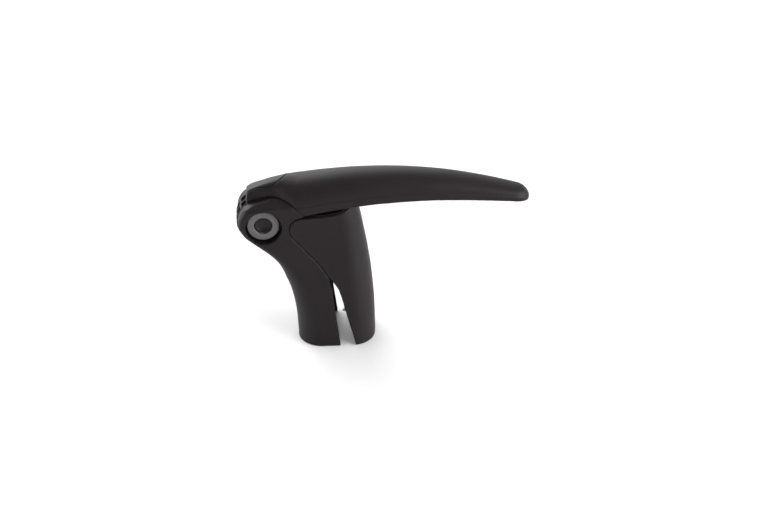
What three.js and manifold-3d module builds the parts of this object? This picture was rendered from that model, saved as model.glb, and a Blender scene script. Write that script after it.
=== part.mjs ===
// Lever-action cork gripper for sparkling wine.
// A split tube stands on the bottle mouth: its rear half is one moulding with
// the two pivot cheeks, its front half is a jaw hinged at the hip. A long
// curved lever turns between the cheeks; its hub nose holds the jaw shut and
// releases it as the lever is raised.
// Millimetres, +X towards the lever tip, +Y away from the user's side, +Z up.
import * as THREE from 'three';
import { mergeVertices } from 'three/addons/utils/BufferGeometryUtils.js';
import Module from 'manifold-3d';

const wasm = await Module();
wasm.setup();

// ---------------------------------------------------------------- dimensions
const GAP = 0.3;                       // running and assembly clearance
const P = { x: -40.0, z: 75.3 };       // lever pivot axis (along Y)
const J = { x: -18.3, z: 73.4 };       // front jaw hinge axis (along Y)
const CHEEK_IN = 5.5;                  // half width of the slot between the cheeks
const CHEEK_OUT = 13.5;                // half width over the cheeks
const HUB_HALF = 5.2;                  // half width of the lever hub
const HUB_R = 14.5;                    // ribbed back of the hub
const HUB_R_FRONT = 11.0;              // plain front of the hub
const PIN_R = 4.2;                     // lever pivot pin
const BUSH_R = 6.2;                    // hub bush
const RING_R = 8.75;                   // visible pivot ring, outside
const RING_HOLE_R = 5.0;
const RING_FACE_Y = 11.0;
const RING_BACK_Y = 8.0;
const POCKET_R = 10.0;                 // round pocket in each cheek
const JAW_PIN_R = 2.0;
const HIP_R = 7.5;                     // rounded hip of the front jaw
const FORK_IN = 9.7;                   // jaw fork walls start here
const LUG_OUT = 9.4;                   // body lugs end here
const TUBE_BORE_R0 = 16.2;             // bore radius at the foot
const TUBE_BORE_TAPER = 0.058;         // radius lost for each mm of height
const TUBE_BORE_TOP = 50;
const LINER_T = 1.3;
const COVER_T = 2.0;

// half depth of the tube and body at each height
const DEPTH = [[0, 18.2], [20, 17.3], [40, 15.7], [55, 14.5], [65, 13.8], [72, 13.5], [95, 13.5]];
// rear and front outline of the tube and body at each height
const LEFT = [[0, -21.0], [4, -21.3], [7.6, -21.4], [13.7, -21.8], [19.7, -22.6], [25.8, -23.7], [31.8, -25.2],
  [35.9, -26.4], [40.3, -27.7], [44.6, -28.8], [48.6, -30.2], [52.6, -32.6], [56.7, -36.0], [60.7, -40.6],
  [64.8, -45.7], [68.8, -50.0], [70.8, -51.5], [72.8, -52.6], [75, -53.4], [77, -53.6], [95, -53.6]];
const RIGHT = [[0, 21.4], [3.2, 21.6], [11.3, 21.3], [21.5, 20.9], [29.5, 20.3], [35.5, 19.7], [43.5, 18.8],
  [49.4, 17.9], [55.3, 17.1], [61.2, 16.1], [67.1, 15.0], [73, 13.9], [78.8, 12.6], [83, 11.6], [87, 10.6], [95, 8.6]];
const N_RIGHT = [[0, 3.0], [20, 2.8], [40, 2.6], [60, 2.4], [95, 2.3]];
const N_LEFT = [[0, 3.0], [20, 2.9], [35, 3.2], [45, 4.0], [55, 6.0], [65, 9.0], [75, 12], [95, 12]];

// lever stations: x, half width, crease height, crown height, roundness
const LEVER = [
  [-52, 5.5, 84.0, 97.2, 4.5], [-44, 5.5, 84.0, 97.2, 4.5], [-38, 5.5, 85.2, 97.3, 4.2], [-34.5, 6.1, 86.2, 98.0, 3.7],
  [-31, 7.9, 86.8, 98.8, 3.1], [-28, 9.9, 86.9, 99.2, 2.8], [-25, 11.6, 86.9, 99.5, 2.6], [-22, 12.8, 87.0, 99.6, 2.5],
  [-18, 13.45, 87.4, 99.9, 2.3], [-10, 13.5, 89.1, 100.8, 2.1], [0, 13.2, 90.3, 102.0, 1.95], [15, 12.6, 91.7, 102.5, 1.9],
  [30, 11.8, 92.6, 102.5, 1.9], [45, 11.0, 92.7, 101.5, 1.9], [60, 10.2, 91.7, 99.7, 1.9], [75, 9.2, 90.2, 96.7, 2.0],
  [90, 8.1, 88.3, 92.8, 2.1], [98, 7.3, 86.8, 90.5, 2.2], [102, 6.1, 85.8, 89.3, 2.2], [105, 4.0, 85.0, 87.6, 2.2],
  [106.8, 1.2, 84.5, 85.8, 2.2]];
// underside edge of the lever ahead of the cheeks
const LEVER_BOTTOM = [[-17.6, 82.1], [-13.3, 83.2], [-6.3, 84.5], [0.6, 85.5], [8.3, 86.4], [12.4, 86.8], [23.8, 87.9],
  [38, 88.5], [46.9, 88.6], [57.8, 88.3], [68.8, 87.5], [79.8, 86.4], [90.8, 85.1], [99.7, 83.7], [108, 82.9]];
// S-shaped parting line between the cheeks and the lever shoulder
const S_LINE = [[-52.5, 84.2], [-48, 86.6], [-45.1, 88.1], [-39.7, 89.5], [-36.4, 90.4], [-33.5, 90.7], [-30, 90.5],
  [-27, 89.7], [-24.5, 88.3], [-22.3, 86.2], [-19, 84.0], [-17.6, 82.1]];
// rounded nose of the lever above the hub
const NOSE = [[-48.8, 86.8], [-48.7, 88.6], [-48.2, 90.6], [-47.2, 92.5], [-45.6, 94.2], [-43.5, 95.5], [-41, 96.4], [-38, 97.3]];
// parting line between the rear body and the jaw, hip to gap apex
const PARTING = [[-23.9, 68.3], [-22.7, 66.9], [-20.0, 63.9], [-17.3, 60.7], [-14.1, 56.9], [-10.8, 53.1], [-8.4, 49.7], [-6.3, 46.3], [-4.3, 43.3]];
const JAW_EDGE = [[-2.7, 41.6], [0.3, 36.2], [2.2, 30.7], [4.1, 23.2], [6.0, 15.6], [8.2, 7.6], [10.0, 0]];
const LEG_EDGE = [[-4.75, 43.0], [-4.1, 40.0], [-2.7, 32.5], [-1.1, 20.3], [1.2, 2.3], [1.3, 0]];
const JAW_TOP = [[-21.8, 79.6], [-17.5, 80.3], [-13.4, 80.6], [-6.4, 81.0], [0.6, 82.4], [4.1, 83.6], [6.9, 85.1], [9.4, 86.1]];
// exposed tongue of the lever core in plan
const TONGUE = [[-56, -3.3], [-44, -3.5], [-39.5, -4.0], [-35.1, -4.5], [-32.8, -4.1], [-30, -2.4], [-27.9, 0.4], [-26.2, 3.4],
  [-26.0, 4.8], [-27.2, 5.6], [-31, 5.2], [-35.1, 4.5], [-39.5, 4.0], [-44, 3.5], [-56, 3.3]];

// ------------------------------------------------------------------- helpers
const lerpTable = (t, v) => {
  if (v <= t[0][0]) return t[0][1];
  for (let i = 1; i < t.length; i++) {
    if (v <= t[i][0]) {
      const k = (v - t[i - 1][0]) / (t[i][0] - t[i - 1][0]);
      return t[i - 1][1] + k * (t[i][1] - t[i - 1][1]);
    }
  }
  return t[t.length - 1][1];
};

function solid(geometry) {
  let g = geometry.clone();
  for (const name of Object.keys(g.attributes)) if (name !== 'position') g.deleteAttribute(name);
  g = mergeVertices(g, 1e-4);
  const m = new wasm.Manifold(new wasm.Mesh({
    numProp: 3,
    vertProperties: new Float32Array(g.attributes.position.array),
    triVerts: new Uint32Array(g.index.array),
  }));
  return m;
}

function geometryOf(m) {
  const out = m.getMesh();
  const g = new THREE.BufferGeometry();
  const n = out.numProp;
  const pos = new Float32Array(out.vertProperties.length / n * 3);
  for (let i = 0; i < pos.length / 3; i++) {
    pos[3 * i] = out.vertProperties[n * i];
    pos[3 * i + 1] = out.vertProperties[n * i + 1];
    pos[3 * i + 2] = out.vertProperties[n * i + 2];
  }
  g.setAttribute('position', new THREE.BufferAttribute(pos, 3));
  g.setIndex(new THREE.BufferAttribute(new Uint32Array(out.triVerts), 1));
  g.computeVertexNormals();
  return g;
}

// outline in the XZ plane, extruded from y0 to y1
function sideExtrude(points, y0, y1) {
  let pts = points.map(([x, z]) => new THREE.Vector2(x, z));
  if (THREE.ShapeUtils.isClockWise(pts)) pts = pts.reverse();
  const g = new THREE.ExtrudeGeometry(new THREE.Shape(pts), { depth: y1 - y0, bevelEnabled: false, curveSegments: 1 });
  g.rotateX(Math.PI / 2);
  g.translate(0, y1, 0);
  return solid(g);
}

// outline in the XY plane, extruded from z0 to z1
function planExtrude(points, z0, z1) {
  let pts = points.map(([x, y]) => new THREE.Vector2(x, y));
  if (THREE.ShapeUtils.isClockWise(pts)) pts = pts.reverse();
  const g = new THREE.ExtrudeGeometry(new THREE.Shape(pts), { depth: z1 - z0, bevelEnabled: false, curveSegments: 1 });
  g.translate(0, 0, z0);
  return solid(g);
}

const cylY = (x, z, r, y0, y1, seg = 40) =>
  solid(new THREE.CylinderGeometry(r, r, y1 - y0, seg).translate(x, (y0 + y1) / 2, z));
const cylZ = (x, y, r0, r1, z0, z1, seg = 40) =>
  solid(new THREE.CylinderGeometry(r1, r0, z1 - z0, seg).rotateX(Math.PI / 2).translate(x, y, (z0 + z1) / 2));
const box = (x0, x1, y0, y1, z0, z1) =>
  solid(new THREE.BoxGeometry(x1 - x0, y1 - y0, z1 - z0).translate((x0 + x1) / 2, (y0 + y1) / 2, (z0 + z1) / 2));

// closed skin through rings of equal length; rings run counter-clockwise when
// seen from the far end of the loft
function loft(rings) {
  const n = rings[0].length;
  const pos = [];
  const idx = [];
  for (const ring of rings) for (const p of ring) pos.push(...p);
  for (let i = 0; i + 1 < rings.length; i++) {
    for (let j = 0; j < n; j++) {
      const a = i * n + j, b = i * n + (j + 1) % n, c = a + n, d = b + n;
      idx.push(a, b, d, a, d, c);
    }
  }
  const cap = (k, flip) => {
    const ring = rings[k];
    const c = [0, 1, 2].map((d) => ring.reduce((s, p) => s + p[d], 0) / n);
    const ci = pos.length / 3;
    pos.push(...c);
    for (let j = 0; j < n; j++) {
      const a = k * n + j, b = k * n + (j + 1) % n;
      if (flip) idx.push(ci, b, a); else idx.push(ci, a, b);
    }
  };
  cap(0, true);
  cap(rings.length - 1, false);
  const g = new THREE.BufferGeometry();
  g.setAttribute('position', new THREE.BufferAttribute(new Float32Array(pos), 3));
  g.setIndex(idx);
  return solid(g);
}

const se = (t, n) => {          // superellipse point at angle t
  const c = Math.cos(t), s = Math.sin(t);
  return [Math.sign(c) * Math.abs(c) ** (2 / n), Math.sign(s) * Math.abs(s) ** (2 / n)];
};

// ------------------------------------------------- envelope of tube and body
function bodyEnvelope() {
  const heights = [0, 4, 12, 20, 28, 36, 44, 50, 56, 61, 66, 71, 77, 94];
  const half = 14;
  return loft(heights.map((z) => {
    const xl = lerpTable(LEFT, z), xr = lerpTable(RIGHT, z), d = lerpTable(DEPTH, z), nl = lerpTable(N_LEFT, z), nr = lerpTable(N_RIGHT, z);
    const ring = [];
    for (let i = 0; i <= half; i++) {
      const [c, s] = se(-Math.PI / 2 + Math.PI * i / half, nr);
      ring.push([xr * Math.abs(c), d * s, z]);
    }
    for (let i = 1; i < half; i++) {
      const [c, s] = se(Math.PI / 2 + Math.PI * i / half, nl);
      ring.push([xl * Math.abs(c), d * s, z]);
    }
    return ring;
  }));
}
const ENV = bodyEnvelope();

const arc = (c, r, a0, a1, n) => Array.from({ length: n + 1 }, (_, i) => {
  const a = (a0 + (a1 - a0) * i / n) * Math.PI / 180;
  return [c.x + r * Math.cos(a), c.z + r * Math.sin(a)];
});

// tapered bore of the tube
const bore = (dr, z0, z1) => cylZ(0, 0, TUBE_BORE_R0 - TUBE_BORE_TAPER * z0 - dr, TUBE_BORE_R0 - TUBE_BORE_TAPER * z1 - dr, z0, z1, 44);

// ------------------------------------------------------------------ rear body
const rearOutline = [
  [-60, 0], [-60, 66], [-58, 72],
  ...arc({ x: -40.7, z: 76.5 }, 13.0, 190, 118, 9),
  ...S_LINE.slice(2),
  ...arc(J, HIP_R + GAP, 96, 222, 12),
  ...PARTING.slice(1).map(([x, z]) => [x - GAP, z]),
  ...LEG_EDGE.map(([x, z]) => [x, z]),
];
let rearBody = ENV.intersect(sideExtrude(rearOutline, -20, 20));
// sloping cheek tops
for (const s of [-1, 1]) {
  const wedge = loft([-60, -10].map((x) => (s > 0
    ? [[x, 13.9, 85.6], [x, 20, 85.6], [x, 20, 99], [x, 5.2, 99], [x, 5.2, 91.3], [x, 12.2, 88.2]]
    : [[x, -20, 85.6], [x, -13.9, 85.6], [x, -12.2, 88.2], [x, -5.2, 91.3], [x, -5.2, 99], [x, -20, 99]])));
  rearBody = rearBody.subtract(wedge);
}
// lugs that carry the jaw hinge inside the jaw fork
for (const s of [-1, 1]) {
  const y0 = s > 0 ? CHEEK_IN : -LUG_OUT, y1 = s > 0 ? LUG_OUT : -CHEEK_IN;
  rearBody = rearBody.add(sideExtrude([...arc(J, 6.0, -90, 90, 10), [-30, 79.4], [-30, 67.4]], y0, y1));
}
// slot for the lever hub and the jaw finger
rearBody = rearBody
  .subtract(cylY(P.x, P.z, HUB_R + 0.7, -CHEEK_IN, CHEEK_IN, 48))
  .subtract(box(-62, P.x, -CHEEK_IN, CHEEK_IN, 63, 100))
  .subtract(box(P.x, -5, -CHEEK_IN, CHEEK_IN, 66, 100))
  .subtract(cylY(P.x, P.z, PIN_R + GAP, -20, 20, 32))
  .subtract(cylY(P.x, P.z, POCKET_R, RING_BACK_Y - GAP, 20, 40))
  .subtract(cylY(P.x, P.z, POCKET_R, -20, -RING_BACK_Y + GAP, 40))
  .subtract(cylY(J.x, J.z, JAW_PIN_R + GAP, -20, 20, 24))
  .subtract(bore(0, -1, TUBE_BORE_TOP));

// ------------------------------------------------------------------ front jaw
const jawOutline = [
  ...arc(J, HIP_R, 130, 222, 12),
  ...PARTING.slice(1),
  ...JAW_EDGE,
  [30, 0], [30, 86.1],
  ...JAW_TOP.slice().reverse(),
];
let frontJaw = ENV.intersect(sideExtrude(jawOutline, -20, 20));
frontJaw = frontJaw
  .subtract(bore(0, -1, TUBE_BORE_TOP))
  // room for the body lugs between the fork walls
  .subtract(box(-30, -10.6, -FORK_IN, FORK_IN, 62.5, 90))
  .subtract(sideExtrude([[-30, 64], [-10.6, 64], [-10.6, 60], [-13.6, 57.4], [-22, 62]], -FORK_IN, FORK_IN))
  // hollow under the lever
  .subtract(sideExtrude([[-10.6, 64], [-10.6, 90], [5.5, 90], [6.5, 72], [4, 64]], 5.8, 10.2))
  .subtract(sideExtrude([[-10.6, 64], [-10.6, 90], [5.5, 90], [6.5, 72], [4, 64]], -10.2, -5.8))
  .subtract(cylY(J.x, J.z, JAW_PIN_R + GAP, -12.3, 12.3, 24));
// central web and finger that the lever nose bears on
const finger = sideExtrude([...arc(J, 4.8, 200, 275, 6), [-8, 68.0], [-8, 78.6], [-14.2, 78.6], [-18.4, 83.2], [-20.6, 84.4],
  [-22.5, 83.6], [-22.9, 81.2]], -2.3, 2.3)
  .subtract(cylY(J.x, J.z, JAW_PIN_R + GAP, -12.3, 12.3, 24));
frontJaw = frontJaw.add(finger);

// --------------------------------------------------------------------- liners
const linerRing = (z0, z1) => bore(GAP, z0, z1).subtract(bore(GAP + LINER_T, z0 - 1, z1 + 1));
const rearLiner = linerRing(13, 44).intersect(sideExtrude(
  [[-30, 12], [-0.9, 12], [-2.0, 20.3], [-3.6, 32.5], [-5.0, 40.0], [-5.7, 43.0], [-5.9, 45], [-30, 45]], -20, 20));
const frontCut = [[10.4, 5], [7.5, 15.6], [5.6, 23.2], [3.7, 30.7], [1.8, 36.2], [-1.0, 41.9], [-2.6, 45], [30, 45], [30, 5]];
const frontLinerUpper = linerRing(21.1, 44).intersect(sideExtrude(frontCut, -20, 20));
const frontLinerLower = linerRing(6, 19.7).intersect(sideExtrude(frontCut, -20, 20));

// steel crescent with a pointed horn at each end, biting teeth on its inner edge
const toothPts = [];
{
  const rOut = 14.55, rIn = 12.9, a0 = 74.5;
  for (let i = 0; i <= 20; i++) {
    const a = (-a0 + 2 * a0 * i / 20) * Math.PI / 180;
    toothPts.push([rOut * Math.cos(a), rOut * Math.sin(a)]);
  }
  toothPts.push([2.6, 13.9]);                                  // horn
  for (let i = 0; i <= 24; i++) {
    const a = (a0 - 2 * a0 * i / 24) * Math.PI / 180;
    const r = i % 2 ? rIn - 0.9 : rIn;
    toothPts.push([r * Math.cos(a), r * Math.sin(a)]);
  }
  toothPts.push([2.6, -13.9]);
}
const toothPlate = planExtrude(toothPts, 20.0, 20.8);

// ---------------------------------------------------------------------- lever
function leverSolid(t, side, extraLow) {
  const rings = LEVER.map(([x, w, zc, zt, n]) => {
    const ww = Math.max(w - side(x), 0.4), h = Math.max(zt - t - zc, 0.3);
    const low = extraLow ? zc - 30 : Math.min(zc - 8, 78);
    const ring = [[x, -ww, low], [x, ww, low]];
    const steps = 12;
    for (let i = 0; i <= steps; i++) {
      const [c, s] = se(Math.PI * i / steps, n);
      ring.push([x, ww * c, zc + h * Math.abs(s)]);
    }
    return ring;
  });
  return loft(rings);
}
const leverRegion = [...NOSE.slice().reverse(), ...S_LINE.slice(1).map(([x, z]) => [x, z + GAP]).filter(([x]) => x > -48.5),
  ...LEVER_BOTTOM.slice(1), [115, 82], [115, 112], [-38, 112]];
const leverOuter = leverSolid(0, () => 0, false);
const leverTrim = sideExtrude(leverRegion, -20, 20);
const cavitySide = (x) => (x < -36 ? 1.3 : x < -28 ? 1.3 + (x + 36) * 0.0875 : COVER_T);
const cavity = leverSolid(COVER_T, cavitySide, true).intersect(box(-60, 101.5, -20, 20, 40, 120));
const grow = (pts, d) => {           // offset a plan outline outwards
  const n = pts.length;
  return pts.map(([x, y], i) => {
    const a = pts[(i + n - 1) % n], b = pts[(i + 1) % n];
    const l = Math.hypot(b[0] - a[0], b[1] - a[1]);
    return [x + d * (b[1] - a[1]) / l, y - d * (b[0] - a[0]) / l];
  });
};
const leverCover = leverOuter.intersect(leverTrim)
  .subtract(cavity)
  .subtract(planExtrude(grow(TONGUE, 0.0), 60, 120));

// structural core: ribbed hub, nose, exposed tongue and spine
let core = cylY(P.x, P.z, HUB_R_FRONT, -HUB_HALF, HUB_HALF, 40);
core = core.add(sideExtrude([...arc(P, HUB_R, 62, 236, 26), [P.x, P.z]], -HUB_HALF, HUB_HALF));
// bearing nose
core = core.add(sideExtrude([[-33, 75], [-30.4, 74.8], [-24.6, 79.9], [-23.25, 81.6], [-23.4, 83.6], [-26, 86], [-33, 86]], -2.6, 2.6));
// neck
core = core.add(sideExtrude([[-46.8, 84], [-46.6, 90.0], [-44, 91.6], [-40, 92.2], [-30, 94.5], [-30, 87.5], [-33, 84]], -3.8, 3.8));
// tongue, flush with the cover
const tongueIn = grow(TONGUE, -GAP);
core = core.add(leverOuter.intersect(sideExtrude([...NOSE.map(([x, z]) => [x, z]), [-38, 112], [-20, 112], [-20, 92.5], [-30, 90.5],
  [-40, 86.0], [-47, 86.0]], -20, 20)).intersect(planExtrude(tongueIn, 60, 120)).intersect(box(-60, -26, -20, 20, 80, 120)));
// spine along the lever
const spine = [];
for (const x of [-33, -20, -8, 0, 12, 25, 40, 55, 70, 80]) spine.push([x, lerpTable(LEVER.map((s) => [s[0], s[3]]), x) - 3.4]);
for (const x of [80, 70, 55, 40, 25, 12, 0, -8, -13, -16, -20, -27, -33]) {
  const under = x < -17 ? lerpTable(S_LINE, x) + 2.2 : lerpTable(LEVER_BOTTOM, x) + 2.3;
  spine.push([x, Math.max(under, x < -12 ? 86.5 : 0)]);
}
core = core.add(sideExtrude(spine, -3.4, 3.4));
// keep the core inside the cover at the shoulders
for (const s of [-1, 1]) {
  const keep = sideExtrude([[-48.9, 86.9 - 0.6], ...S_LINE.slice(2).map(([x, z]) => [x, z - 0.05]), [-10, 81], [-10, 120], [-48.9, 120]],
    s > 0 ? 3.85 : -20, s > 0 ? 20 : -3.85);
  core = core.subtract(keep.intersect(box(-49, -10, -20, 20, 60, 120)
    .subtract(leverOuter.intersect(planExtrude(tongueIn, 92.6, 120)))));
}
// pockets between the ribs on the back of the hub
for (const [a0, a1] of [[129, 143.6], [149.4, 167], [172.8, 190], [195.8, 213]]) {
  for (const [y0, y1] of [[-4.2, -0.8], [0.8, 4.2]]) {
    core = core.subtract(sideExtrude([...arc(P, 17.5, a0, a1, 3), ...arc(P, 8.8, a1, a0, 3)], y0, y1));
  }
}
core = core.subtract(cylY(P.x, P.z, BUSH_R + GAP, -20, 20, 32));

// closing panel under the lever
const panelStrip = [];
for (const x of [-9, 0, 12, 25, 40, 55, 70, 85, 96]) panelStrip.push([x, lerpTable(LEVER_BOTTOM, x) + 0.4]);
for (const x of [96, 85, 70, 55, 40, 25, 12, 0, -9]) panelStrip.push([x, lerpTable(LEVER_BOTTOM, x) + 1.9]);
let panel = leverSolid(COVER_T + GAP, (x) => cavitySide(x) + GAP, true).intersect(sideExtrude(panelStrip, -20, 20));

// screws: a cylindrical head under the panel, shank up into the spine
const SCREW_X = [6, 34, 66];
const screws = [];
for (const x of SCREW_X) {
  const z = lerpTable(LEVER_BOTTOM, x);
  panel = panel.subtract(cylZ(x, 0, 1.5, 1.5, z - 2, z + 4, 20)).subtract(cylZ(x, 0, 2.7, 2.7, z - 2, z + 1.1, 20));
  core = core.subtract(cylZ(x, 0, 1.5, 1.5, z, z + 6.6, 20));
  screws.push(cylZ(x, 0, 2.3, 2.3, z + 0.1, z + 0.8, 20).add(cylZ(x, 0, 1.2, 1.2, z + 0.7, z + 6.2, 16)));
}

// ---------------------------------------------------------- pins, rings, bushes
const leverPin = cylY(P.x, P.z, PIN_R, -8.2, 8.2, 36);
const jawPin = cylY(J.x, J.z, JAW_PIN_R, -12.0, 12.0, 24);

function latheY(profile, seg = 40) {   // profile [radius, y] closed on itself or on the axis
  const g = new THREE.LatheGeometry(profile.map(([r, y]) => new THREE.Vector2(r, y)), seg);
  return g;
}
function placedLathe(profile, x, z, mirror, seg = 40) {
  let m = solid(latheY(profile, seg));
  if (m.volume() < 0) throw new Error('profile runs the wrong way');
  if (mirror) m = m.mirror([0, 1, 0]);
  return m.translate([x, 0, z]);
}
// ring: chamfered outer edge, plain bore
const ringProfile = [[RING_HOLE_R, RING_BACK_Y], [RING_R, RING_BACK_Y], [RING_R, RING_FACE_Y - 0.4], [RING_R - 0.4, RING_FACE_Y],
  [RING_HOLE_R + 0.3, RING_FACE_Y], [RING_HOLE_R, RING_FACE_Y - 0.3], [RING_HOLE_R, RING_BACK_Y]];
// dished cap on the end of the pin
const capProfile = [[0, 8.5], [4.7, 8.5], [4.7, 9.7], [4.3, 9.7], [3.4, 9.25], [1.8, 9.05], [0, 9.0]];
const bushProfile = [[PIN_R + GAP, 0.3], [BUSH_R, 0.3], [BUSH_R, 5.1], [PIN_R + GAP, 5.1], [PIN_R + GAP, 0.3]];
const washerProfile = [[JAW_PIN_R + GAP, 3.05], [4.4, 3.05], [4.4, 3.75], [JAW_PIN_R + GAP, 3.75], [JAW_PIN_R + GAP, 3.05]];

// torsion spring on the jaw hinge pin, beside the finger
class CoilPath extends THREE.Curve {
  constructor(r, y0, y1, turns) { super(); Object.assign(this, { r, y0, y1, turns }); }
  getPoint(t, target = new THREE.Vector3()) {
    const a = Math.PI * 0.5 + 2 * Math.PI * this.turns * t;
    return target.set(this.r * Math.cos(a), this.y0 + (this.y1 - this.y0) * t, this.r * Math.sin(a));
  }
}
const wire = new THREE.Shape(Array.from({ length: 6 }, (_, i) =>
  new THREE.Vector2(0.33 * Math.cos(i * Math.PI / 3), 0.33 * Math.sin(i * Math.PI / 3))));
const springGeometry = new THREE.ExtrudeGeometry(wire, { steps: 44, bevelEnabled: false, extrudePath: new CoilPath(3.2, -4.9, -2.9, 2.25) });
springGeometry.translate(J.x, 0, J.z);
let spring = solid(springGeometry);

// ------------------------------------------------------------------- assembly
const mat = (hex, roughness, metalness = 0) => new THREE.MeshStandardMaterial({ color: hex, roughness, metalness });
const SOFT_BLACK = mat(0x2d2a2b, 0.62);
const CORE_BLACK = mat(0x252324, 0.55);
const RUBBER = mat(0x1a1919, 0.85);
const RING_GREY = mat(0x7c7b7b, 0.42);
const CAP_DARK = mat(0x1d1c1c, 0.3);
const STEEL = mat(0x8e9092, 0.3, 1);

const root = new THREE.Group();
function piece(name, manifold, material, parent = root) {
  const mesh = new THREE.Mesh(geometryOf(manifold), material);
  mesh.name = name;
  parent.add(mesh);
  return mesh;
}

const frameGroup = new THREE.Group();
const leverGroup = new THREE.Group();
const jawGroup = new THREE.Group();
root.add(frameGroup, leverGroup, jawGroup);

piece('rear_body', rearBody, SOFT_BLACK, frameGroup);
piece('rear_grip_liner', rearLiner, RUBBER, frameGroup);
piece('lever_pivot_pin', leverPin, STEEL, frameGroup);
piece('pivot_ring_near', placedLathe(ringProfile, P.x, P.z, true), RING_GREY, frameGroup);
piece('pivot_ring_far', placedLathe(ringProfile, P.x, P.z, false), RING_GREY, frameGroup);
piece('pin_cap_near', placedLathe(capProfile, P.x, P.z, true, 32), CAP_DARK, frameGroup);
piece('pin_cap_far', placedLathe(capProfile, P.x, P.z, false, 32), CAP_DARK, frameGroup);
piece('jaw_hinge_pin', jawPin, STEEL, frameGroup);
piece('jaw_return_spring', spring, STEEL, frameGroup);
piece('spring_washer', placedLathe(washerProfile, J.x, J.z, false, 24), STEEL, frameGroup);

piece('front_jaw', frontJaw, SOFT_BLACK, jawGroup);
piece('front_grip_liner_upper', frontLinerUpper, RUBBER, jawGroup);
piece('front_grip_liner_lower', frontLinerLower, RUBBER, jawGroup);
piece('front_tooth_plate', toothPlate, STEEL, jawGroup);

piece('lever_core', core, CORE_BLACK, leverGroup);
piece('lever_cover', leverCover, SOFT_BLACK, leverGroup);
piece('lever_base_panel', panel, CORE_BLACK, leverGroup);
piece('hub_bush_near', placedLathe(bushProfile, P.x, P.z, true, 32), STEEL, leverGroup);
piece('hub_bush_far', placedLathe(bushProfile, P.x, P.z, false, 32), STEEL, leverGroup);
screws.forEach((s, i) => piece(`lever_screw_${i + 1}`, s, STEEL, leverGroup));

// row origin: centre of the overall box in plan, on the ground
const bounds = new THREE.Box3().setFromObject(root, true);
const shift = new THREE.Vector3(-(bounds.min.x + bounds.max.x) / 2, -(bounds.min.y + bounds.max.y) / 2, -bounds.min.z);
for (const g of [frameGroup, leverGroup, jawGroup]) g.position.copy(shift);

export default root;
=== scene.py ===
import math

import bpy
import bmesh
import numpy as np
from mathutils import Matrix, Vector


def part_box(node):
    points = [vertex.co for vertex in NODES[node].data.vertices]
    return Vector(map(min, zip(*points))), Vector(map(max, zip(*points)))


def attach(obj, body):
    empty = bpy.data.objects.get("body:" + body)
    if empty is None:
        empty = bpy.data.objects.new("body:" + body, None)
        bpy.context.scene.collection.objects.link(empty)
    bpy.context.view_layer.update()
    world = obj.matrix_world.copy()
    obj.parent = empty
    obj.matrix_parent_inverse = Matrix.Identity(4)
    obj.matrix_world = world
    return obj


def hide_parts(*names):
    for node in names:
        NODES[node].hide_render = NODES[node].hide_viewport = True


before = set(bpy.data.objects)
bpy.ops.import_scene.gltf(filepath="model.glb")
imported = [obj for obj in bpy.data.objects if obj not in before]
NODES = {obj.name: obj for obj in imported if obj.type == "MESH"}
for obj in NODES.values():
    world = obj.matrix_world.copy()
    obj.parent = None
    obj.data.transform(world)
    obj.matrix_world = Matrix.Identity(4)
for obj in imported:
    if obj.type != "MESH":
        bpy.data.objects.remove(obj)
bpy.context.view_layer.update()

# The pieces are worked out in millimetres about the axis of the closed tube.
# The row's origin lies SX further along +X; the near pivot ring gives it.
P = (-40.0, 75.3)            # lever pivot, x and z
J = (-18.3, 73.4)            # jaw hinge
_lo, _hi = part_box("pivot_ring_near")
SX = (_lo.x + _hi.x) * 500.0 - P[0]
FINE = 0.40

# ------------------------------------------------------------------ 1D tables


def pchip(table):
    """Monotone cubic through (position, value) pairs, held flat outside them."""
    t = np.array([a for a, _ in table], float)
    v = np.array([b for _, b in table], float)
    h = np.diff(t)
    d = np.diff(v) / h
    m = np.zeros(len(t))
    for i in range(1, len(t) - 1):
        if d[i - 1] * d[i] > 0:
            w1, w2 = 2 * h[i] + h[i - 1], h[i] + 2 * h[i - 1]
            m[i] = (w1 + w2) / (w1 / d[i - 1] + w2 / d[i])
    m[0], m[-1] = d[0], d[-1]

    def f(q):
        q = np.asarray(q, float)
        c = np.clip(q, t[0], t[-1])
        i = np.clip(np.searchsorted(t, c, side="right") - 1, 0, len(h) - 1)
        s = (c - t[i]) / h[i]
        return ((1 + 2 * s) * (1 - s) ** 2 * v[i] + s * (1 - s) ** 2 * h[i] * m[i]
                + s * s * (3 - 2 * s) * v[i + 1] + s * s * (s - 1) * h[i] * m[i + 1])

    return f


def curve(pts, step=0.6):
    """Centripetal Catmull-Rom through points, for outlines with no corners."""
    p = np.array(pts, float)
    if len(p) < 3:
        return [tuple(q) for q in p]
    a = np.vstack([2 * p[0] - p[1], p, 2 * p[-1] - p[-2]])
    out = []
    for i in range(1, len(a) - 2):
        p0, p1, p2, p3 = a[i - 1], a[i], a[i + 1], a[i + 2]
        t1 = max(np.linalg.norm(p1 - p0), 1e-6) ** 0.5
        t2 = t1 + max(np.linalg.norm(p2 - p1), 1e-6) ** 0.5
        t3 = t2 + max(np.linalg.norm(p3 - p2), 1e-6) ** 0.5
        n = max(2, int(np.linalg.norm(p2 - p1) / step) + 1)
        for t in np.linspace(t1, t2, n, endpoint=False):
            A1 = (t1 - t) / t1 * p0 + t / t1 * p1
            A2 = (t2 - t) / (t2 - t1) * p1 + (t - t1) / (t2 - t1) * p2
            A3 = (t3 - t) / (t3 - t2) * p2 + (t - t2) / (t3 - t2) * p3
            B1 = (t2 - t) / t2 * A1 + t / t2 * A2
            B2 = (t3 - t) / (t3 - t1) * A2 + (t - t1) / (t3 - t1) * A3
            out.append(tuple((t2 - t) / (t2 - t1) * B1 + (t - t1) / (t2 - t1) * B2))
    out.append(tuple(p[-1]))
    return out


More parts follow.
